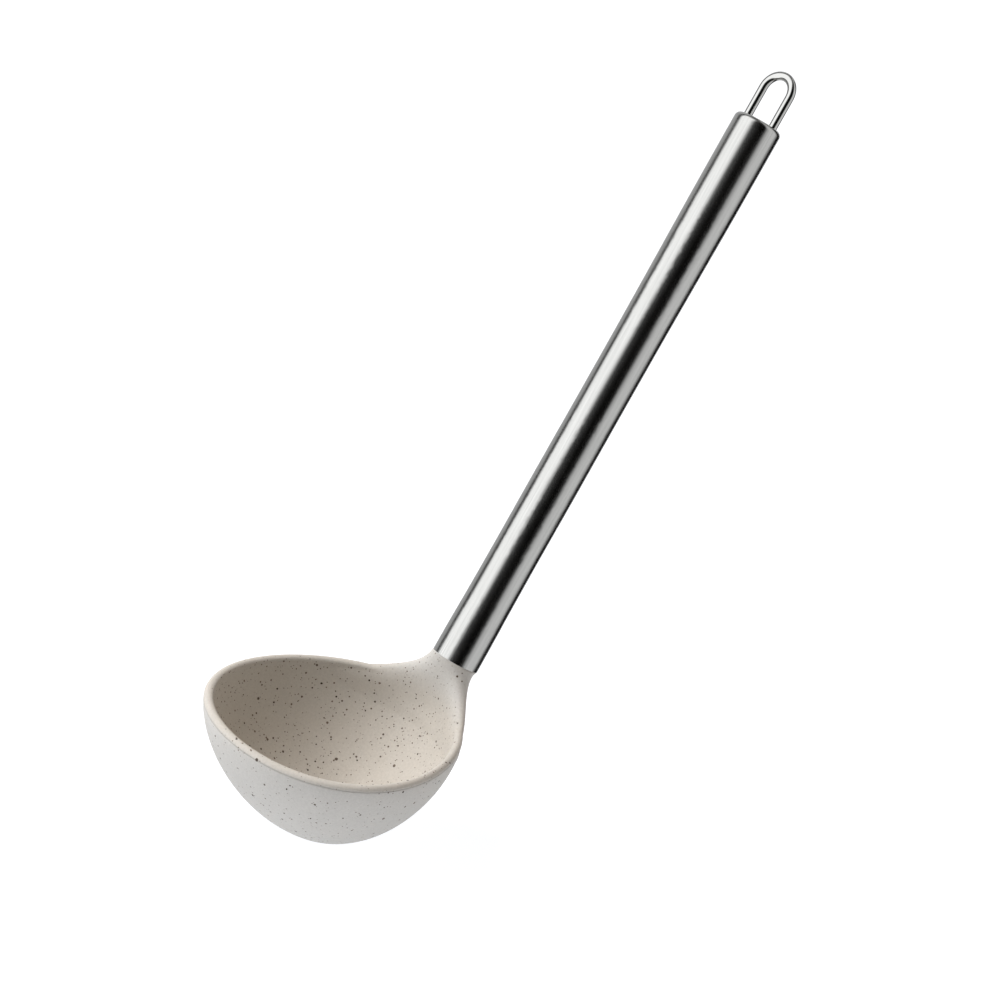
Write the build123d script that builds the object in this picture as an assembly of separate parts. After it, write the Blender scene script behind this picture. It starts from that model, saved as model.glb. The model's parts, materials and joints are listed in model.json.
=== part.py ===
from build123d import *
from math import acos, cos, pi, radians, sin, sqrt
import os

# Soup ladle: a silicone head moulded round a nylon core, bonded into a stainless tube with a wire loop.
# The origin is the underside of the bowl on its axis, +Z is out of the open bowl, +X towards the handle.
# Lengths are in millimetres, angles in degrees.

# Bowl, over the outside of its lip
bowl_length = 86.6
bowl_width = 88.1
bowl_depth = 41.0
foot_diameter = 6.0
lip_thickness = 3.2
skin_thickness = 0.8
egg_share = 0.13
wall_drop_share = 1.63
wall_round_share = 1.91

# Neck, between the bowl's wall and the tube
joint_reach = 48.1
joint_height = 53.8
neck_length = 23.9
root_length = 4.5
root_inset = 0.3
neck_cover = 0.25
neck_edge_share = 0.99
side_slope_share = 0.21
front_slope_share = 0.31
middle_slope_share = 0.5
neck_thinning_share = 3.1
neck_blunt_share = 1.6

# Handle tube
handle_angle = 64.7
tube_length = 205.0
tube_end_diameter = 17.0
tube_waist_diameter = 16.2
tube_wall = 0.6
mouth_straight = 3.0
grip_straight = 12.0
waist_place_shares = (0.10, 0.32, 0.60, 0.82)
waist_depth_shares = (0.55, 0.80, 1.00, 0.42)

# Spigot of the core, inside the tube, and the epoxy round it
spigot_length = 32.0
spigot_diameter = 14.2
spigot_bore = 7.0
spigot_bore_depth = 26.0
groove_width = 2.4
groove_depth = 0.5
groove_pitch = 7.5
groove_count = 3
bond_length = 30.0

# End cap
cap_height = 3.3
cap_wall = 0.8
cap_shoulder = 2.0

# Hanging loop
wire_diameter = 3.0
loop_spacing = 12.0
loop_rise = 18.5
leg_depth = 3.2
leg_clearance = 0.05
weld_leg = 0.9
weld_toe = 0.15

# Overrun of every cutting tool
overrun = 2.0

# How finely the smooth forms are described
ring_points = 24
wall_rings = 10
ring_crowding_share = 1.6
lip_rings = 3
neck_level_shares = (0, 0.12, 0.28, 0.46, 0.64, 0.82)
root_rings = 3
slope_share = 0.001

lip_radius = lip_thickness / 2
tube_end_radius = tube_end_diameter / 2
spigot_radius = spigot_diameter / 2
wire_radius = wire_diameter / 2
mid_length = bowl_length / 2 - lip_radius
mid_width = bowl_width / 2 - lip_radius
widest_cos = -2 * egg_share / (1 + sqrt(1 + 8 * egg_share ** 2))
widest_share = sqrt(1 - widest_cos ** 2) * (1 - egg_share * widest_cos)
foot_turn = acos((foot_diameter / bowl_length) ** (wall_round_share / 2))
handle_length = tube_length + cap_height

joint = Vector(joint_reach, 0, joint_height)
up_handle = Vector(cos(radians(handle_angle)), 0, sin(radians(handle_angle)))
across = Vector(0, 1, 0)
forward = up_handle.cross(across)
handle_frame = Plane(origin=joint, x_dir=-forward, z_dir=up_handle)


def egg(turn, half_length, half_width):
    """A point of the bowl's outline seen from above, narrower towards the handle."""
    width_share = sin(turn) * (1 - egg_share * cos(turn)) / widest_share
    return half_length * cos(turn), half_width * width_share


def wall_shares(turn):
    """The wall's reach and fall, as shares, from the rim at zero down to the foot at foot_turn."""
    reach = cos(turn) ** (2 / wall_round_share)
    fall = (sin(turn) / sin(foot_turn)) ** (2 / wall_drop_share)
    return reach, fall


def bowl_ring(half_length, half_width, height):
    turns = [2 * pi * k / ring_points for k in range(ring_points)]
    points = [(*egg(turn, half_length, half_width), height) for turn in turns]
    return Wire([Edge.make_spline(points, periodic=True)])


def cup_side(side, lip, fall_depth):
    """One face of the cup, from its foot up to the top of the lip: side is 1 outside and -1 inside."""
    rings = []
    for k in range(wall_rings, 0, -1):
        reach, fall = wall_shares(foot_turn * (k / wall_rings) ** ring_crowding_share)
        half_length = (mid_length + side * lip) * reach
        half_width = (mid_width + side * lip) * reach
        rings.append(bowl_ring(half_length, half_width, bowl_depth - fall_depth * fall))
    for k in range(lip_rings + 1):
        turn = pi / 2 * k / lip_rings
        grow = side * lip * cos(turn)
        rings.append(bowl_ring(mid_length + grow, mid_width + grow, bowl_depth + lip * sin(turn)))
    body = Solid.make_loft(rings)
    top = body.faces().sort_by(Axis.Z)[-1]
    return [face for face in body.faces() if face != top]


def cup(inset):
    """The bowl with its full round lip, drawn in by the inset on every side."""
    lip = lip_radius - inset
    outside = cup_side(1, lip, bowl_depth - inset)
    inside = cup_side(-1, lip, bowl_depth - lip_thickness + inset)
    return Solid(Shell(outside + inside))


def solve(function, low, high):
    """Where a function that falls from low to high crosses zero, by halving."""
    for _ in range(50):
        middle = (low + high) / 2
        if function(middle) > 0:
            low = middle
        else:
            high = middle
    return (low + high) / 2


def mid_wall(around, down):
    """A point half way through the bowl's wall."""
    reach, fall = wall_shares(down)
    x, y = egg(around, mid_length * reach, mid_width * reach)
    return Vector(x, y, bowl_depth - (bowl_depth - lip_radius) * fall)


def below_joint(point):
    return (joint - point).dot(up_handle)


def run_between(level, start, end, start_slope, end_slope):
    """A smooth run from one value at level 0 to another at level 1, with a slope given at each."""
    rise = level ** 2 * (3 - 2 * level)
    bend = level * (1 - level)
    return start + (end - start) * rise + bend * ((1 - level) * start_slope - level * end_slope)


def root_middle(depth, inset):
    """The middle line of the neck's root inside the bowl's wall, at a depth below the joint."""
    lip_turn = solve(lambda around: depth - below_joint(mid_wall(around, 0)), 0, pi)
    edge_turn = lip_turn * neck_edge_share - inset / mid_length

    def place(share):
        around = share * edge_turn
        down = solve(lambda down: depth - below_joint(mid_wall(around, down)), 0, foot_turn)
        offset = mid_wall(around, down) - joint
        return offset.dot(across), offset.dot(forward)

    return place


def neck_middle(level, inset):
    """The middle line of the free neck, from the joint at level 0 to the root at level 1."""
    radius = tube_end_radius - inset
    root = root_middle(neck_length, inset)
    beyond = root_middle(neck_length * (1 + slope_share), inset)
    edge_side, edge_front = root(1)
    side_slope, front_slope = (beyond(1)[k] - root(1)[k] for k in (0, 1))
    middle_slope = beyond(0)[1] - root(0)[1]
    side_start, front_start, middle_start = (
        neck_length * share for share in (side_slope_share, front_slope_share, middle_slope_share)
    )
    side = run_between(level, radius, edge_side, side_start, side_slope / slope_share)
    front = run_between(level, 0, edge_front, front_start, front_slope / slope_share)
    middle = run_between(level, 0, root(0)[1], middle_start, middle_slope / slope_share)
    return lambda share: (side * share, middle + (front - middle) * share ** 2)


def neck_section(depth, place, half_thickness, bluntness):
    """A closed curve round a middle line, in two halves that meet at its left and right edges."""
    points = []
    for k in range(ring_points):
        turn = 2 * pi * k / ring_points
        share = sin(turn)
        side, front = place(share)
        ahead, behind = place(share + slope_share), place(share - slope_share)
        run, rise = ahead[0] - behind[0], ahead[1] - behind[1]
        half = half_thickness * cos(turn) * sqrt(1 + bluntness * (share ** 2 + share ** 4))
        side -= half * rise / sqrt(run ** 2 + rise ** 2)
        front += half * run / sqrt(run ** 2 + rise ** 2)
        points.append(joint - up_handle * depth + across * side + forward * front)
    quarter, middle = ring_points // 4, ring_points // 2
    back = Edge.make_spline(points, periodic=True).trim(points[quarter], points[-quarter])
    turned = points[middle:] + points[:middle]
    front = Edge.make_spline(turned, periodic=True).trim(turned[quarter], turned[-quarter])
    return Wire([back, front])


def neck(inset):
    """The neck, from a round end at the joint, over the lip's front, to a thin root inside the wall."""
    radius = tube_end_radius - inset
    foot_half = lip_radius + neck_cover - inset
    sections = []
    for level in neck_level_shares:
        half = foot_half + (radius - foot_half) * (1 - level) ** neck_thinning_share
        blunt = neck_blunt_share * run_between(level, 0, 1, 0, 0)
        sections.append(neck_section(neck_length * level, neck_middle(level, inset), half, blunt))
    for k in range(root_rings + 1):
        depth = neck_length + root_length * k / root_rings
        half = foot_half - (neck_cover + root_inset) * k / root_rings
        sections.append(neck_section(depth, root_middle(depth, inset), half, neck_blunt_share))
    return Solid.make_loft(sections)


def post(radius, height, start=0):
    """A cylinder up the handle's axis, in the handle's own frame."""
    return Pos(0, 0, start) * Cylinder(radius, height, align=(Align.CENTER, Align.CENTER, Align.MIN))


def spigot():
    """The core's hollow pin, with ring grooves that key the epoxy."""
    body = post(spigot_radius, spigot_length)
    body -= post(spigot_bore / 2, spigot_bore_depth + overrun, spigot_length - spigot_bore_depth)
    for k in range(groove_count):
        start = bond_length / 2 + (k - (groove_count - 1) / 2) * groove_pitch - groove_width / 2
        ring = post(spigot_radius + overrun, groove_width, start)
        body -= ring - post(spigot_radius - groove_depth, groove_width, start)
    return body


def tube_side(inset):
    """The outline of the tube's wall, drawn in by the inset, from its mouth to its top."""
    radius = tube_end_radius - inset
    waist_depth = (tube_end_diameter - tube_waist_diameter) / 2
    waist_length = tube_length - mouth_straight - grip_straight
    points = [(radius, 0, mouth_straight)]
    for place_share, depth_share in zip(waist_place_shares, waist_depth_shares):
        height = mouth_straight + waist_length * place_share
        points.append((radius - waist_depth * depth_share, 0, height))
    points.append((radius, 0, tube_length - grip_straight))
    mouth = Edge.make_line((radius, 0, 0), points[0])
    waist = Edge.make_spline(points, tangents=[(0, 0, 1), (0, 0, 1)])
    grip = Edge.make_line(points[-1], (radius, 0, tube_length))
    return [mouth, waist, grip]


def lathe(inset):
    """The solid inside the tube's outline, drawn in by the inset."""
    side = tube_side(inset)
    axis = Edge.make_line((0, 0, 0), (0, 0, tube_length))
    mouth = Edge.make_line(axis @ 0, side[0] @ 0)
    top = Edge.make_line(axis @ 1, side[-1] @ 1)
    return Solid.revolve(Face(Wire([mouth, *side, top, axis])), 360, Axis.Z)


def bond_sleeve():
    """The epoxy that fills the space between the spigot and the tube, and the spigot's grooves."""
    filling = lathe(tube_wall) & post(tube_end_radius, bond_length)
    return filling - post(spigot_radius - groove_depth, bond_length) - spigot()


def dome(inset):
    """The end cap's outer shape, drawn in by the inset at its top and sides."""
    body = post(tube_end_radius - inset, cap_height - inset, tube_length)
    return fillet(body.edges().sort_by(Axis.Z)[-1], cap_shoulder - inset)


def at_legs(shape):
    """Two copies of a shape, one at each leg of the hanging loop."""
    return [Pos(0, side * loop_spacing / 2, 0) * shape for side in (-1, 1)]


def end_cap():
    body = dome(0) - dome(cap_wall)
    for hole in at_legs(post(wire_radius + leg_clearance, cap_height + overrun, tube_length)):
        body -= hole
    return body


def hanging_loop():
    bend_radius = loop_spacing / 2
    foot = handle_length - leg_depth
    shoulder = handle_length + loop_rise - wire_radius - bend_radius
    left_foot, right_foot = (0, -bend_radius, foot), (0, bend_radius, foot)
    left, right = (0, -bend_radius, shoulder), (0, bend_radius, shoulder)
    top = (0, 0, shoulder + bend_radius)
    bend = Edge.make_three_point_arc(left, top, right)
    path = Wire([Edge.make_line(left_foot, left), bend, Edge.make_line(right, right_foot)])
    return sweep(Plane(left_foot) * Circle(wire_radius), path=path)


def loop_welds():
    """The beads that hold the loop's legs under the end cap."""
    start = handle_length - cap_wall - weld_leg
    seat = (Align.CENTER, Align.CENTER, Align.MIN)
    bead = Pos(0, 0, start) * Cone(wire_radius + weld_toe, wire_radius + weld_leg, weld_leg, align=seat)
    bead -= post(wire_radius, weld_leg, start)
    return [side_bead & dome(cap_wall) for side_bead in at_legs(bead)]


def on_handle(shape):
    """Moves a shape from the handle's own frame to its place on the ladle."""
    return handle_frame.location * shape


core = cup(skin_thickness) + neck(skin_thickness) + on_handle(spigot())
silicone = cup(0) + neck(0) - cup(skin_thickness) - neck(skin_thickness)

welds = [on_handle(bead) for bead in loop_welds()]

pieces = {
    "silicone_head": silicone,
    "head_core": core,
    "bond_sleeve": on_handle(bond_sleeve()),
    "handle_tube": on_handle(lathe(0) - lathe(tube_wall)),
    "end_cap": on_handle(end_cap()),
    "hanging_loop": on_handle(hanging_loop()),
    "loop_welds": Compound(children=welds),
}

os.makedirs("parts", exist_ok=True)
for name, piece in pieces.items():
    export_step(piece, f"parts/{name}.step")
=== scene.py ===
"""A soup ladle: speckled silicone head, brushed tube handle, pressed cap and wire hanging loop."""

import json
import math

import bpy
from mathutils import Matrix, Vector

bl_info = {
    "name": "Soup Ladle",
    "version": (1, 0, 0),
    "blender": (4, 5, 0),
    "location": "3D View > Sidebar > Ladle",
    "description": "Finishes and studio for a silicone soup ladle with a tubular steel handle",
    "category": "Object",
}

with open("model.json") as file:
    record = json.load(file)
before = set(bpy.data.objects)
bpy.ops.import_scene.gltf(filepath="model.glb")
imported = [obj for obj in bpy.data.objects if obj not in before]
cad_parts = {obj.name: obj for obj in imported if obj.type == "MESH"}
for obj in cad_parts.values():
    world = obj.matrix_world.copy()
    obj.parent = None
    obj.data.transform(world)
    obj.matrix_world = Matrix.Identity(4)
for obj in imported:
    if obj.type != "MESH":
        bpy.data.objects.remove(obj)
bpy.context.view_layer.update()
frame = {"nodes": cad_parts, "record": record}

MM = 0.001

# The handle's axis, from the mount on its straight end.
handle_end = next(m for m in frame["record"]["mounts"] if m["name"] == "handle_end")
GRIP = Vector(handle_end["pos_m"])
AXIS = Vector(handle_end["axis"])
LEAN = math.atan2(AXIS.x, AXIS.z)


def linear(code):
    """An sRGB hex colour as linear red, green and blue."""
    parts = [int(code[i : i + 2], 16) / 255 for i in (0, 2, 4)]
    return tuple(
        p / 12.92 if p <= 0.04045 else ((p + 0.055) / 1.055) ** 2.4 for p in parts
    )


def opaque(colour):
    """A linear colour with full cover."""
    return (*colour, 1.0)


def node(tree, kind, inputs=None, **settings):
    """Adds a node with its settings, and sets or links its inputs."""
    made = tree.nodes.new(kind)
    for name, value in settings.items():
        setattr(made, name, value)
    for socket, value in (inputs or {}).items():
        if isinstance(value, bpy.types.NodeSocket):
            tree.links.new(value, made.inputs[socket])
        else:
            made.inputs[socket].default_value = value
    return made


def new_material(name):
    """An empty node material and its tree."""
    material = bpy.data.materials.new(name)
    material.use_nodes = True
    material.node_tree.nodes.clear()
    return material, material.node_tree


def finish_surface(tree, inputs):
    """Ends a material in a principled surface."""
    surface = node(tree, "ShaderNodeBsdfPrincipled", inputs)
    node(tree, "ShaderNodeOutputMaterial", {"Surface": surface.outputs[0]})


def dress(name, material):
    """Gives a CAD node its finish in every one of its material slots."""
    piece = frame["nodes"][name]
    for place in piece.material_slots:
        place.material = material


class LadleSilicone(bpy.types.PropertyGroup):
    """What can be changed on the silicone head."""

    colour: bpy.props.FloatVectorProperty(
        name="Silicone",
        description="Colour of the silicone between its specks",
        subtype="COLOR",
        min=0,
        max=1,
        default=linear("C1BFBB"),
    )
    # Painted warm bounce light: the warmer colour given to the inside of the bowl and the lip.
    warm_bounce_colour: bpy.props.FloatVectorProperty(
        name="Stain",
        description="Colour of the silicone where soup has touched it",
        subtype="COLOR",
        min=0,
        max=1,
        default=linear("C0BBB3"),
    )
    speck_colour: bpy.props.FloatVectorProperty(
        name="Speck",
        description="Colour of a speck's middle",
        subtype="COLOR",
        min=0,
        max=1,
        default=linear("29231F"),
    )
    halo_colour: bpy.props.FloatVectorProperty(
        name="Speck edge",
        description="Colour that bleeds from a speck into the silicone",
        subtype="COLOR",
        min=0,
        max=1,
        default=linear("8A7B70"),
    )
    grain: bpy.props.FloatProperty(
        name="Grain",
        description="Width of the matt grain that the mould leaves",
        unit="LENGTH",
        subtype="DISTANCE",
        min=0.1 * MM,
        max=2 * MM,
        default=0.45 * MM,
    )
    parting_height: bpy.props.FloatProperty(
        name="Parting line",
        description="Height of the mould's parting line round the bowl's lip",
        unit="LENGTH",
        subtype="DISTANCE",
        min=0,
        max=60 * MM,
        default=41 * MM,
    )


class LadleSteel(bpy.types.PropertyGroup):
    """What can be changed on the steel pieces."""

    colour: bpy.props.FloatVectorProperty(
        name="Steel",
        description="Colour of the bare stainless steel",
        subtype="COLOR",
        min=0,
        max=1,
        default=linear("D0CFCC"),
    )
    brush_pitch: bpy.props.FloatProperty(
        name="Brush pitch",
        description="Distance between two scratches of the satin brushing",
        unit="LENGTH",
        subtype="DISTANCE",
        min=0.05 * MM,
        max=2 * MM,
        default=0.3 * MM,
    )
    brush_length: bpy.props.FloatProperty(
        name="Brush stroke",
        description="Length of one scratch of the satin brushing",
        unit="LENGTH",
        subtype="DISTANCE",
        min=2 * MM,
        max=200 * MM,
        default=30 * MM,
    )


class LadleStage(bpy.types.PropertyGroup):
    """What can be changed on the studio."""

    floor_size: bpy.props.FloatProperty(
        name="Floor",
        description="Side of the square table top that the ladle rests on",
        unit="LENGTH",
        subtype="DISTANCE",
        min=1,
        max=100,
        default=24,
    )
    floor_colour: bpy.props.FloatVectorProperty(
        name="Table top",
        description="Colour of the table top",
        subtype="COLOR",
        min=0,
        max=1,
        default=linear("909092"),
    )
    backlight: bpy.props.FloatProperty(
        name="Backlight",
        description="Light that comes up through the table top",
        min=0,
        max=5,
        default=0.92,
    )
    key_power: bpy.props.FloatProperty(
        name="Key light",
        description="Power of the large soft light on the left",
        unit="POWER",
        min=0,
        max=1000,
        default=19,
    )
    sky: bpy.props.FloatProperty(
        name="Tent",
        description="Strength of the light from the white tent all round",
        min=0,
        max=10,
        default=1,
    )


# Widths in the silicone: its pigment's clouds, the mottle of its dust, and the lumps of a flake,
# with how far they push its edge.
CLOUD_WIDTH = 9 * MM
MOTTLE_WIDTH = 0.7 * MM
LUMP_WIDTH = 0.5 * MM
LUMP_SHIFT = 0.22 * MM
# Spacing, smallest and largest radius in mm, and share of the places that hold a flake.
FLAKES = (
    (1.2, 0.11, 0.22, 0.90),
    (2.0, 0.22, 0.39, 0.70),
    (5.4, 0.40, 0.58, 0.60),
)
# A flake's edge blurs from this far outside it to this far inside, in mm.
BLUR_OUTSIDE = 0.05
BLUR_INSIDE = 0.07
# How dark a flake is where the colour of its edge is full, and where that of its middle starts.
EDGE_FULL = 0.4
MIDDLE_STARTS = 0.25
# Share of its flakes that the outer skin shows.
RUBBED_SHARE = 0.45
# The parting line: half its whole width, half the width where its painted shade is full, and where
# it fades by the neck.
LINE_EDGE = 0.30 * MM
LINE_HEART = 0.08 * MM
LINE_FADES = 16 * MM
LINE_ENDS = 27 * MM
LINE_DEPTH = 0.12 * MM
# A face counts as fully outside once the bowl's foot lies this far behind it.
OUTSIDE_REACH = 4 * MM
# Painted warm bounce light inside the bowl: its edge on the lip, and the heights at which it is
# full and gone.
BOUNCE_EDGE = 0.5 * MM
BOUNCE_FULL = 38 * MM
BOUNCE_TOP = 50 * MM
GRAIN_DEPTH = 0.03 * MM
FILLET_RADIUS = 1.5 * MM
# How far light travels under the skin.
LIGHT_BLEED = 1.2 * MM


def speckled_silicone(sizes):
    """Platinum-cured silicone with ground mineral flakes stirred in, pressed in a blasted mould.
    The eye gets a soft matt skin with no sharp glint, light that bleeds a little under it, and dark
    flakes of many sizes, cut through at any depth, with edges that blur into the skin."""
    material, tree = new_material("Moulded_Speckled_Silicone")
    place = node(tree, "ShaderNodeTexCoord").outputs["Object"]

    clouds = node(
        tree,
        "ShaderNodeTexNoise",
        {"Vector": place, "Scale": 1 / CLOUD_WIDTH, "Detail": 2.0},
    )
    shade = node(
        tree,
        "ShaderNodeMapRange",
        {"Value": clouds.outputs["Fac"], "To Min": 0.965, "To Max": 1.035},
    )
    # The finest flakes can't be told apart and only leave a mottle.
    dust = node(
        tree,
        "ShaderNodeTexNoise",
        {"Vector": place, "Scale": 1 / MOTTLE_WIDTH, "Detail": 2.0},
    )
    mottle = node(
        tree,
        "ShaderNodeMapRange",
        {
            "Value": dust.outputs["Fac"],
            "From Min": 0.3,
            "From Max": 0.7,
            "To Min": 0.94,
            "To Max": 1.04,
        },
    )
    shade = node(
        tree,
        "ShaderNodeMath",
        {0: shade.outputs[0], 1: mottle.outputs[0]},
        operation="MULTIPLY",
    )

    # The mould parts at the lip's widest level and leaves a fine groove there, on the outside only;
    # the groove is also darkened with painted shade, as if it lay under a lip that stands out.
    spot = node(tree, "ShaderNodeSeparateXYZ", {"Vector": place})
    over_line = node(
        tree,
        "ShaderNodeMath",
        {0: spot.outputs["Z"], 1: sizes.parting_height},
        operation="SUBTRACT",
    )
    off_line = node(
        tree, "ShaderNodeMath", {0: over_line.outputs[0]}, operation="ABSOLUTE"
    )
    line = node(
        tree,
        "ShaderNodeMapRange",
        {
            "Value": off_line.outputs[0],
            "From Min": LINE_EDGE,
            "From Max": LINE_HEART,
        },
        interpolation_type="SMOOTHSTEP",
    )
    facing = node(tree, "ShaderNodeTexCoord").outputs["Normal"]
    outward = node(
        tree, "ShaderNodeVectorMath", {0: place, 1: facing}, operation="DOT_PRODUCT"
    )
    outside = node(
        tree,
        "ShaderNodeMapRange",
        {"Value": outward.outputs["Value"], "From Max": OUTSIDE_REACH},
    )
    before_neck = node(
        tree,
        "ShaderNodeMapRange",
        {"Value": spot.outputs["X"], "From Min": LINE_ENDS, "From Max": LINE_FADES},
        interpolation_type="SMOOTHSTEP",
    )
    line = node(
        tree,
        "ShaderNodeMath",
        {0: line.outputs[0], 1: outside.outputs[0]},
        operation="MULTIPLY",
    )
    line = node(
        tree,
        "ShaderNodeMath",
        {0: line.outputs[0], 1: before_neck.outputs[0]},
        operation="MULTIPLY",
    )
    # Painted shade: the colour is darkened along the parting line.
    painted_line_shade = node(
        tree,
        "ShaderNodeMapRange",
        {"Value": line.outputs[0], "To Min": 1.0, "To Max": 0.8},
    )
    shade = node(
        tree,
        "ShaderNodeMath",
        {0: shade.outputs[0], 1: painted_line_shade.outputs[0]},
        operation="MULTIPLY",
    )

    # Painted warm bounce light: a faint warm tint inside the bowl and on the lip, and less of it up
    # the neck.
    on_lip = node(
        tree,
        "ShaderNodeMapRange",
        {
            "Value": over_line.outputs[0],
            "From Min": -BOUNCE_EDGE,
            "From Max": BOUNCE_EDGE,
        },
    )
    inside = node(
        tree,
        "ShaderNodeMapRange",
        {"Value": outside.outputs[0], "To Min": 1.0, "To Max": 0.0},
    )
    bounce_area = node(
        tree,
        "ShaderNodeMath",
        {0: inside.outputs[0], 1: on_lip.outputs[0]},
        operation="MAXIMUM",
    )
    reach = node(
        tree,
        "ShaderNodeMapRange",
        {"Value": spot.outputs["Z"], "From Min": BOUNCE_TOP, "From Max": BOUNCE_FULL},
        interpolation_type="SMOOTHSTEP",
    )
    painted_bounce = node(
        tree,
        "ShaderNodeMath",
        {0: bounce_area.outputs[0], 1: reach.outputs[0]},
        operation="MULTIPLY",
    )
    tint = node(
        tree,
        "ShaderNodeMix",
        {
            0: painted_bounce.outputs[0],
            6: opaque(sizes.colour),
            7: opaque(sizes.warm_bounce_colour),
        },
        data_type="RGBA",
    )
    colour = node(
        tree,
        "ShaderNodeVectorMath",
        {0: tint.outputs[2], 3: shade.outputs[0]},
        operation="SCALE",
    ).outputs["Vector"]

    # Flakes are lumps, not balls: a fine noise bends the space that they lie in.
    lumps = node(
        tree,
        "ShaderNodeTexNoise",
        {"Vector": place, "Scale": 1 / LUMP_WIDTH, "Detail": 1.0},
    )
    shift = node(
        tree,
        "ShaderNodeVectorMath",
        {0: lumps.outputs["Color"], 1: (0.5, 0.5, 0.5)},
        operation="SUBTRACT",
    )
    bent = node(
        tree,
        "ShaderNodeVectorMath",
        {0: shift.outputs[0], 1: (LUMP_SHIFT,) * 3, 2: place},
        operation="MULTIPLY_ADD",
    )

    dark = None
    for spacing, smallest, largest, share in FLAKES:
        cells = node(
            tree,
            "ShaderNodeTexVoronoi",
            {"Vector": bent.outputs[0], "Scale": 1 / (spacing * MM)},
        )
        chance = node(
            tree, "ShaderNodeSeparateColor", {"Color": cells.outputs["Color"]}
        )
        radius = node(
            tree,
            "ShaderNodeMapRange",
            {
                "Value": chance.outputs[1],
                "To Min": smallest / spacing,
                "To Max": largest / spacing,
            },
        )
        depth = node(
            tree,
            "ShaderNodeMath",
            {0: radius.outputs[0], 1: cells.outputs["Distance"]},
            operation="SUBTRACT",
        )
        body = node(
            tree,
            "ShaderNodeMapRange",
            {
                "Value": depth.outputs[0],
                "From Min": -BLUR_OUTSIDE / spacing,
                "From Max": BLUR_INSIDE / spacing,
            },
            interpolation_type="SMOOTHSTEP",
        )
        # The outer skin is rubbed thinner over its flakes, and shows fewer of them.
        holding = node(
            tree,
            "ShaderNodeMapRange",
            {
                "Value": outside.outputs[0],
                "To Min": share,
                "To Max": RUBBED_SHARE * share,
            },
        )
        kept = node(
            tree,
            "ShaderNodeMath",
            {0: chance.outputs[0], 1: holding.outputs[0]},
            operation="LESS_THAN",
        )
        mask = node(
            tree,
            "ShaderNodeMath",
            {0: body.outputs[0], 1: kept.outputs[0]},
            operation="MULTIPLY",
        )
        strength = node(
            tree,
            "ShaderNodeMapRange",
            {"Value": chance.outputs[2], "To Min": 0.55, "To Max": 1.0},
        )
        mask = node(
            tree,
            "ShaderNodeMath",
            {0: mask.outputs[0], 1: strength.outputs[0]},
            operation="MULTIPLY",
        )
        dark = (
            mask.outputs[0]
            if dark is None
            else node(
                tree, "ShaderNodeMath", {0: dark, 1: mask.outputs[0]}, operation="MAXIMUM"
            ).outputs[0]
        )

    halo = node(
        tree,
        "ShaderNodeMapRange",
        {"Value": dark, "From Max": EDGE_FULL},
        interpolation_type="SMOOTHSTEP",
    )
    edged = node(
        tree,
        "ShaderNodeMix",
        {0: halo.outputs[0], 6: colour, 7: opaque(sizes.halo_colour)},
        data_type="RGBA",
    )
    middle = node(
        tree, "ShaderNodeMapRange", {"Value": dark, "From Min": MIDDLE_STARTS}
    )
    speckled = node(
        tree,
        "ShaderNodeMix",
        {0: middle.outputs[0], 6: edged.outputs[2], 7: opaque(sizes.speck_colour)},
        data_type="RGBA",
    )

    # The blasted mould's grain is a few hundredths of a millimetre, drawn coarser so that it shows.
    grain = node(
        tree,
        "ShaderNodeTexNoise",
        {"Vector": place, "Scale": 1 / sizes.grain, "Detail": 3.0, "Roughness": 0.6},
    )
    rough = node(
        tree,
        "ShaderNodeMapRange",
        {"Value": grain.outputs["Fac"], "To Min": 0.52, "To Max": 0.66},
    )
    # Where the neck grows out of the wall, the mould's polished fillet leaves no edge.
    fillet = node(tree, "ShaderNodeBevel", {"Radius": FILLET_RADIUS}, samples=8)
    relief = node(
        tree,
        "ShaderNodeBump",
        {
            "Strength": 0.35,
            "Distance": GRAIN_DEPTH,
            "Height": grain.outputs["Fac"],
            "Normal": fillet.outputs[0],
        },
    )
    groove = node(
        tree,
        "ShaderNodeBump",
        {
            "Distance": LINE_DEPTH,
            "Height": line.outputs[0],
            "Normal": relief.outputs[0],
        },
        invert=True,
    )
    finish_surface(
        tree,
        {
            "Base Color": speckled.outputs[2],
            "Roughness": rough.outputs[0],
            "IOR": 1.41,
            "Normal": groove.outputs[0],
            "Subsurface Weight": 0.12,
            "Subsurface Radius": (1.0, 0.85, 0.7),
            "Subsurface Scale": LIGHT_BLEED,
        },
    )
    return material


# Width of the slow patches that handling leaves, and how much they count beside the scratches.
PATCH_WIDTH = 14 * MM
PATCH_SHARE = 0.35
# Lowest and highest roughness, and depth of the scratches.
TUBE_FINISH = (0.17, 0.27, 0.004 * MM)
CAP_FINISH = (0.15, 0.24, 0.003 * MM)


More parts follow.
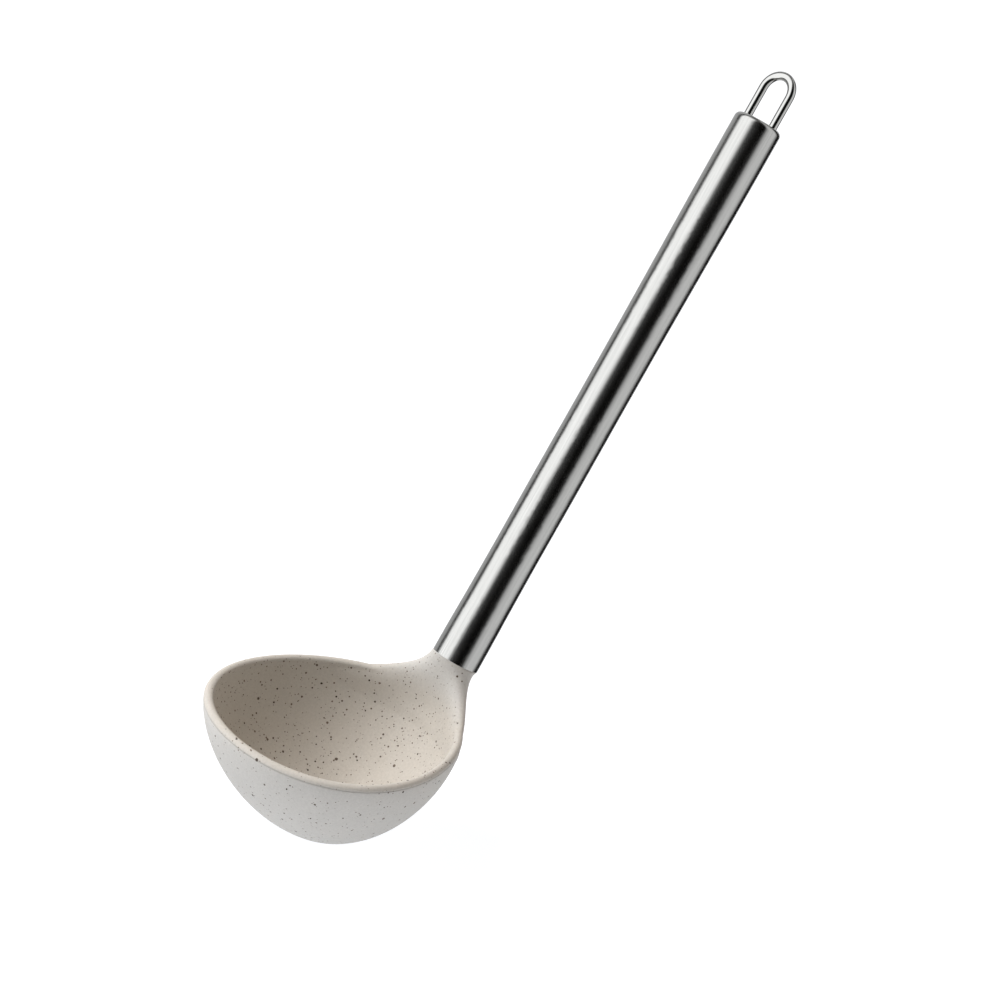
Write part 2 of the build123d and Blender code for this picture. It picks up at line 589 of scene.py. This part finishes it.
def brushed_steel(sizes, name, finish):
    """Stainless steel, belt-brushed along the handle after drawing.
    The eye gets soft-edged bands of light that run the whole handle, with fine straight scratches
    in them that also vary the steel's tone and gloss."""
    rough_low, rough_high, scratch_depth = finish
    material, tree = new_material(name)
    place = node(tree, "ShaderNodeTexCoord").outputs["Object"]
    # Scratches lie along the handle, so the space is turned with it and drawn out along it.
    along = node(
        tree,
        "ShaderNodeMapping",
        {
            "Vector": place,
            "Location": GRIP,
            "Rotation": (0.0, LEAN, 0.0),
            "Scale": (sizes.brush_pitch, sizes.brush_pitch, sizes.brush_length),
        },
        vector_type="TEXTURE",
    )
    scratches = node(
        tree,
        "ShaderNodeTexNoise",
        {"Vector": along.outputs[0], "Scale": 1.0, "Detail": 5.0, "Roughness": 0.7},
    )
    # Handling leaves patches that are a little duller.
    patches = node(
        tree,
        "ShaderNodeTexNoise",
        {"Vector": place, "Scale": 1 / PATCH_WIDTH, "Detail": 3.0},
    )
    worn = node(
        tree,
        "ShaderNodeMath",
        {0: patches.outputs["Fac"], 1: PATCH_SHARE, 2: scratches.outputs["Fac"]},
        operation="MULTIPLY_ADD",
    )
    rough = node(
        tree,
        "ShaderNodeMapRange",
        {
            "Value": worn.outputs[0],
            "From Min": 0.4,
            "From Max": 0.95,
            "To Min": rough_low,
            "To Max": rough_high,
        },
    )
    tone = node(
        tree,
        "ShaderNodeMapRange",
        {
            "Value": scratches.outputs["Fac"],
            "From Min": 0.3,
            "From Max": 0.7,
            "To Min": 0.84,
            "To Max": 1.08,
        },
    )
    colour = node(
        tree,
        "ShaderNodeVectorMath",
        {0: sizes.colour, 3: tone.outputs[0]},
        operation="SCALE",
    )
    relief = node(
        tree,
        "ShaderNodeBump",
        {
            "Strength": 0.5,
            "Distance": scratch_depth,
            "Height": scratches.outputs["Fac"],
        },
    )
    finish_surface(
        tree,
        {
            "Base Color": colour.outputs[0],
            "Metallic": 1.0,
            "Roughness": rough.outputs[0],
            "Normal": relief.outputs[0],
        },
    )
    return material


# Widths of the wire's rub marks, the nylon's fibres, the epoxy's bubbles and the weld's ripples.
MARK_WIDTH = 0.6 * MM
FIBRE_WIDTH = 0.8 * MM
BUBBLE_WIDTH = 0.9 * MM
RIPPLE_WIDTH = 0.5 * MM
RIPPLE_DEPTH = 0.05 * MM


def polished_wire(sizes):
    """Bright-drawn stainless wire, polished after bending.
    The eye gets hard narrow bands of white and black that follow the bend."""
    material, tree = new_material("Polished_Stainless_Wire")
    place = node(tree, "ShaderNodeTexCoord").outputs["Object"]
    marks = node(
        tree,
        "ShaderNodeTexNoise",
        {"Vector": place, "Scale": 1 / MARK_WIDTH, "Detail": 4.0},
    )
    rough = node(
        tree,
        "ShaderNodeMapRange",
        {"Value": marks.outputs["Fac"], "To Min": 0.05, "To Max": 0.14},
    )
    finish_surface(
        tree,
        {
            "Base Color": opaque(sizes.colour),
            "Metallic": 1.0,
            "Roughness": rough.outputs[0],
        },
    )
    return material


def moulded_nylon():
    """Glass-filled nylon, injection moulded.
    The eye gets a dark, slightly cloudy grey with the dull glint of short fibres at the skin."""
    material, tree = new_material("Moulded_Glass_Filled_Nylon")
    place = node(tree, "ShaderNodeTexCoord").outputs["Object"]
    fibres = node(
        tree,
        "ShaderNodeTexNoise",
        {"Vector": place, "Scale": 1 / FIBRE_WIDTH, "Detail": 4.0},
    )
    colour = node(
        tree,
        "ShaderNodeMix",
        {
            0: fibres.outputs["Fac"],
            6: opaque(linear("6F6F72")),
            7: opaque(linear("86868A")),
        },
        data_type="RGBA",
    )
    rough = node(
        tree,
        "ShaderNodeMapRange",
        {"Value": fibres.outputs["Fac"], "To Min": 0.45, "To Max": 0.7},
    )
    finish_surface(
        tree,
        {
            "Base Color": colour.outputs[2],
            "Roughness": rough.outputs[0],
            "IOR": 1.53,
        },
    )
    return material


def cured_epoxy():
    """Two-part epoxy, squeezed out round the spigot and cured.
    The eye gets an amber glassy body with small bubbles."""
    material, tree = new_material("Cured_Epoxy")
    place = node(tree, "ShaderNodeTexCoord").outputs["Object"]
    bubbles = node(
        tree, "ShaderNodeTexVoronoi", {"Vector": place, "Scale": 1 / BUBBLE_WIDTH}
    )
    colour = node(
        tree,
        "ShaderNodeMix",
        {
            0: bubbles.outputs["Distance"],
            6: opaque(linear("F2EAD0")),
            7: opaque(linear("D9C48E")),
        },
        data_type="RGBA",
    )
    finish_surface(
        tree,
        {
            "Base Color": colour.outputs[2],
            "Roughness": 0.15,
            "IOR": 1.55,
        },
    )
    return material


def weld_bead():
    """Stainless weld metal, left as welded.
    The eye gets a rippled grey bead with straw and blue heat tints."""
    material, tree = new_material("As_Welded_Stainless")
    place = node(tree, "ShaderNodeTexCoord").outputs["Object"]
    ripples = node(
        tree,
        "ShaderNodeTexNoise",
        {"Vector": place, "Scale": 1 / RIPPLE_WIDTH, "Detail": 3.0},
    )
    tint = node(
        tree,
        "ShaderNodeMix",
        {
            0: ripples.outputs["Fac"],
            6: opaque(linear("A9A199")),
            7: opaque(linear("7F7A80")),
        },
        data_type="RGBA",
    )
    relief = node(
        tree,
        "ShaderNodeBump",
        {"Strength": 0.6, "Distance": RIPPLE_DEPTH, "Height": ripples.outputs["Fac"]},
    )
    finish_surface(
        tree,
        {
            "Base Color": tint.outputs[2],
            "Metallic": 1.0,
            "Roughness": 0.42,
            "Normal": relief.outputs[0],
        },
    )
    return material


class LADLE_OT_silicone_head(bpy.types.Operator):
    """Finish the speckled silicone bowl and neck."""

    bl_idname = "ladle.silicone_head"
    bl_label = "Silicone head"

    def execute(self, context):
        dress("silicone_head", speckled_silicone(context.scene.ladle_silicone))
        return {"FINISHED"}


class LADLE_OT_stiff_core(bpy.types.Operator):
    """Finish the nylon core and the epoxy that holds it in the tube."""

    bl_idname = "ladle.stiff_core"
    bl_label = "Core and bond"

    def execute(self, context):
        dress("head_core", moulded_nylon())
        dress("bond_sleeve", cured_epoxy())
        return {"FINISHED"}


class LADLE_OT_handle_tube(bpy.types.Operator):
    """Finish the brushed steel tube."""

    bl_idname = "ladle.handle_tube"
    bl_label = "Handle tube"

    def execute(self, context):
        steel = brushed_steel(
            context.scene.ladle_steel, "Brushed_Stainless_Tube", TUBE_FINISH
        )
        dress("handle_tube", steel)
        return {"FINISHED"}


class LADLE_OT_end_cap(bpy.types.Operator):
    """Finish the pressed cap that closes the tube."""

    bl_idname = "ladle.end_cap"
    bl_label = "End cap"

    def execute(self, context):
        steel = brushed_steel(
            context.scene.ladle_steel, "Pressed_Stainless_Cap", CAP_FINISH
        )
        dress("end_cap", steel)
        return {"FINISHED"}


class LADLE_OT_hanging_loop(bpy.types.Operator):
    """Finish the polished wire loop and the welds on its legs."""

    bl_idname = "ladle.hanging_loop"
    bl_label = "Hanging loop"

    def execute(self, context):
        dress("hanging_loop", polished_wire(context.scene.ladle_steel))
        dress("loop_welds", weld_bead())
        return {"FINISHED"}


# The camera stands where the photograph was taken from: the way back to it from the ladle, its
# roll, and how far it is moved across and up to frame the ladle as the photograph does.
CAMERA_AZIMUTH = math.radians(313.9)
CAMERA_ELEVATION = math.radians(23.48)
CAMERA_ROLL = math.radians(12.14)
CAMERA_DISTANCE = 0.9024
CAMERA_TARGET = Vector((0.06375, 0.0, 0.1154))
CAMERA_ACROSS = -0.00823
CAMERA_RISE = -0.0029
# Focal length and frame in pixels, and the sensor in millimetres.
CAMERA_FOCAL = 2694.07
FRAME_WIDTH = 1000
SENSOR = 36.0
# The nearest and farthest that the camera sees, in metres.
CAMERA_NEAR = 0.01
CAMERA_FAR = 200


def photo_camera():
    """The camera at the photograph's viewing angle. Returns the way back to it from the ladle."""
    azimuth, elevation, roll = CAMERA_AZIMUTH, CAMERA_ELEVATION, CAMERA_ROLL
    flat = math.cos(elevation)
    back = Vector(
        (math.sin(azimuth) * flat, -math.cos(azimuth) * flat, math.sin(elevation))
    )
    level = Vector((math.cos(azimuth), math.sin(azimuth), 0.0))
    rise = back.cross(level)
    right = level * math.cos(roll) + rise * math.sin(roll)
    up = rise * math.cos(roll) - level * math.sin(roll)
    spot = (
        CAMERA_TARGET
        + back * CAMERA_DISTANCE
        + right * CAMERA_ACROSS
        + up * CAMERA_RISE
    )
    data = bpy.data.cameras.new("Photo_Camera")
    data.sensor_width = SENSOR
    data.lens = CAMERA_FOCAL * SENSOR / FRAME_WIDTH
    data.clip_start = CAMERA_NEAR
    data.clip_end = CAMERA_FAR
    camera = bpy.data.objects.new("Photo_Camera", data)
    bpy.context.scene.collection.objects.link(camera)
    camera.matrix_world = Matrix(
        (
            (right.x, up.x, back.x, spot.x),
            (right.y, up.y, back.y, spot.y),
            (right.z, up.z, back.z, spot.z),
            (0, 0, 0, 1),
        )
    )
    bpy.context.scene.camera = camera
    return back


def soft_light(name, power, size, direction, distance, colour):
    """A square area light that faces the ladle."""
    data = bpy.data.lights.new(name, "AREA")
    data.energy = power
    data.size = size
    data.color = colour
    light = bpy.data.objects.new(name, data)
    bpy.context.scene.collection.objects.link(light)
    light.location = CAMERA_TARGET + direction.normalized() * distance
    light.rotation_mode = "QUATERNION"
    light.rotation_quaternion = direction.to_track_quat("Z", "Y")
    light.visible_camera = False
    light.visible_glossy = False


# Degrees round the handle from the camera, to the left below zero, and brightness there.
PANELS = (
    (-180, 0.60),
    (-120, 0.45),
    (-114, 0.06),
    (-100, 0.06),
    (-90, 1.46),
    (-40, 1.46),
    (-21, 0.05),
    (-8, 0.02),
    (12, 0.0),
    (39, 0.0),
    (51, 0.55),
    (65, 0.78),
    (102, 0.78),
    (124, 0.0),
    (150, 0.0),
    (156, 0.55),
    (180, 0.60),
)
BRIGHTEST = max(bright for _, bright in PANELS)
PANEL_TINT = (0.97, 0.985, 1.0)
ROOF_BRIGHTNESS = 0.45
ROOF_TINT = (1.0, 0.86, 0.73)
# How far along the handle a direction points where the roof starts, and where it is full.
ROOF_STARTS = 0.3
ROOF_FULL = 0.65
# The steel sees a vent in place of the roof, which starts farther up by this much and turns from
# black to grey between two angles, each with the brightness there.
VENT_LIFT = 0.4
VENT_BLACK = (40, 0.06)
VENT_GREY = (60, 0.5)


def share_of_turn(angle):
    """Place of an angle round the handle on the tent's ramp, which runs from 0 to 1."""
    return 0.5 + angle / 360


def tinted(tint, bright):
    """A tinted brightness as a share of the tent's brightest panel."""
    return opaque(tuple(part * bright / BRIGHTEST for part in tint))


def tent(back, strength):
    """The white tent round the table, with dark gaps between its panels.
    Its panels stand along the handle, so that each one is a straight band in the tube."""
    world = bpy.data.worlds.new("Light_Tent")
    bpy.context.scene.world = world
    world.use_nodes = True
    tree = world.node_tree
    tree.nodes.clear()
    place = node(tree, "ShaderNodeTexCoord").outputs["Generated"]
    # Turned so that Z runs along the handle and the camera's side lies along +X.
    front = (back - AXIS * back.dot(AXIS)).normalized()
    side = AXIS.cross(front)
    turn = Matrix((front, side, AXIS)).to_euler()
    turned = node(
        tree,
        "ShaderNodeMapping",
        {"Vector": place, "Rotation": tuple(turn)},
        vector_type="VECTOR",
    )
    round_about = node(
        tree,
        "ShaderNodeTexGradient",
        {"Vector": turned.outputs[0]},
        gradient_type="RADIAL",
    )
    panels = node(tree, "ShaderNodeValToRGB", {"Fac": round_about.outputs["Fac"]})
    ramp = panels.color_ramp
    while len(ramp.elements) < len(PANELS):
        ramp.elements.new(0.5)
    # All places come before the colours, because the ramp sorts its stops as they move.
    for element, (angle, _) in zip(ramp.elements, PANELS):
        element.position = share_of_turn(angle)
    for element, (_, bright) in zip(ramp.elements, PANELS):
        element.color = tinted(PANEL_TINT, bright)
    # The tent closes to a dim warm roof over the handle's end, and to the same under its foot.
    # The steel mirrors its panels right down, and up to a small vent, black and grey on the right.
    seen = node(tree, "ShaderNodeLightPath")
    height = node(tree, "ShaderNodeSeparateXYZ", {"Vector": turned.outputs[0]})
    away = node(
        tree, "ShaderNodeMath", {0: height.outputs["Z"]}, operation="ABSOLUTE"
    )
    above = node(
        tree,
        "ShaderNodeMath",
        {0: height.outputs["Z"], 1: VENT_LIFT},
        operation="SUBTRACT",
    )
    lift = node(
        tree,
        "ShaderNodeMix",
        {0: seen.outputs["Is Glossy Ray"], 2: away.outputs[0], 3: above.outputs[0]},
    )
    closed = node(
        tree,
        "ShaderNodeMapRange",
        {
            "Value": lift.outputs[0],
            "From Min": ROOF_STARTS,
            "From Max": ROOF_FULL,
        },
        interpolation_type="SMOOTHSTEP",
    )
    vent = node(
        tree,
        "ShaderNodeMapRange",
        {
            "Value": round_about.outputs["Fac"],
            "From Min": share_of_turn(VENT_BLACK[0]),
            "From Max": share_of_turn(VENT_GREY[0]),
            "To Min": VENT_BLACK[1] / BRIGHTEST,
            "To Max": VENT_GREY[1] / BRIGHTEST,
        },
    )
    roof = node(
        tree,
        "ShaderNodeMix",
        {
            0: seen.outputs["Is Glossy Ray"],
            6: tinted(ROOF_TINT, ROOF_BRIGHTNESS),
            7: vent.outputs[0],
        },
        data_type="RGBA",
    )
    walls = node(
        tree,
        "ShaderNodeMix",
        {
            0: closed.outputs[0],
            6: panels.outputs["Color"],
            7: roof.outputs[2],
        },
        data_type="RGBA",
    )
    inside = node(
        tree,
        "ShaderNodeBackground",
        {"Color": walls.outputs[2], "Strength": strength * BRIGHTEST},
    )
    plain = node(
        tree, "ShaderNodeBackground", {"Color": opaque((1, 1, 1)), "Strength": 1.0}
    )
    both = node(
        tree,
        "ShaderNodeMixShader",
        {0: seen.outputs["Is Camera Ray"], 1: inside.outputs[0], 2: plain.outputs[0]},
    )
    node(tree, "ShaderNodeOutputWorld", {"Surface": both.outputs[0]})


# The key light's side, the way from the ladle to it, and how far away it hangs.
KEY_SIZE = 0.7
KEY_DIRECTION = Vector((-0.45, 0.70, 0.95))
KEY_DISTANCE = 1.3
# Width of the clouds in the table top's acrylic.
ACRYLIC_CLOUD = 3 * MM


class LADLE_OT_stage(bpy.types.Operator):
    """Set up the floor, the lights and the camera."""

    bl_idname = "ladle.stage"
    bl_label = "Studio"

    def execute(self, context):
        sizes = context.scene.ladle_stage
        bpy.ops.object.select_all(action="DESELECT")
        bpy.ops.mesh.primitive_plane_add(size=sizes.floor_size, location=(0, 0, 0))
        floor = context.active_object
        floor.name = "Light_Table"
        material, tree = new_material("Backlit_Opal_Acrylic")
        place = node(tree, "ShaderNodeTexCoord").outputs["Object"]
        # Opal acrylic, faintly clouded and lit from below, which washes shadows out.
        clouds = node(
            tree,
            "ShaderNodeTexNoise",
            {"Vector": place, "Scale": 1 / ACRYLIC_CLOUD, "Detail": 2.0},
        )
        tone = node(
            tree,
            "ShaderNodeMapRange",
            {"Value": clouds.outputs["Fac"], "To Min": 0.99, "To Max": 1.0},
        )
        colour = node(
            tree,
            "ShaderNodeVectorMath",
            {0: sizes.floor_colour, 3: tone.outputs[0]},
            operation="SCALE",
        )
        finish_surface(
            tree,
            {
                "Base Color": colour.outputs[0],
                "Roughness": 0.9,
                "Specular IOR Level": 0.0,
                "Emission Color": opaque(linear("FAFCFF")),
                "Emission Strength": sizes.backlight,
            },
        )
        floor.data.materials.append(material)
        # The steel shows the tent's panels all round, below the table's edge too.
        floor.visible_glossy = False

        back = photo_camera()
        soft_light(
            "Key_Softbox",
            sizes.key_power,
            KEY_SIZE,
            KEY_DIRECTION,
            KEY_DISTANCE,
            linear("FDFBFA"),
        )
        tent(back, sizes.sky)
        context.scene.view_settings.view_transform = "Standard"
        return {"FINISHED"}


class LADLE_PT_panel(bpy.types.Panel):
    """The ladle's sizes, colours and pieces in the sidebar."""

    bl_idname = "LADLE_PT_panel"
    bl_label = "Soup Ladle"
    bl_space_type = "VIEW_3D"
    bl_region_type = "UI"
    bl_category = "Ladle"

    def draw(self, context):
        layout = self.layout
        for group in SETTINGS:
            box = layout.box()
            sizes = getattr(context.scene, group)
            for name in SETTINGS[group].__annotations__:
                box.prop(sizes, name)
        for piece in PIECES:
            layout.operator(piece.bl_idname)


SETTINGS = {
    "ladle_silicone": LadleSilicone,
    "ladle_steel": LadleSteel,
    "ladle_stage": LadleStage,
}
PIECES = (
    LADLE_OT_silicone_head,
    LADLE_OT_stiff_core,
    LADLE_OT_handle_tube,
    LADLE_OT_end_cap,
    LADLE_OT_hanging_loop,
    LADLE_OT_stage,
)
CLASSES = (*SETTINGS.values(), *PIECES, LADLE_PT_panel)


def register():
    """Adds the classes and the scene's settings."""
    for made in CLASSES:
        bpy.utils.register_class(made)
    for name, group in SETTINGS.items():
        setattr(bpy.types.Scene, name, bpy.props.PointerProperty(type=group))


def unregister():
    """Takes them away again."""
    for name in SETTINGS:
        delattr(bpy.types.Scene, name)
    for made in reversed(CLASSES):
        bpy.utils.unregister_class(made)


def main():
    """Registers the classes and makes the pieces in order."""
    register()
    bpy.ops.ladle.silicone_head()
    bpy.ops.ladle.stiff_core()
    bpy.ops.ladle.handle_tube()
    bpy.ops.ladle.end_cap()
    bpy.ops.ladle.hanging_loop()
    bpy.ops.ladle.stage()


if __name__ == "__main__":
    main()
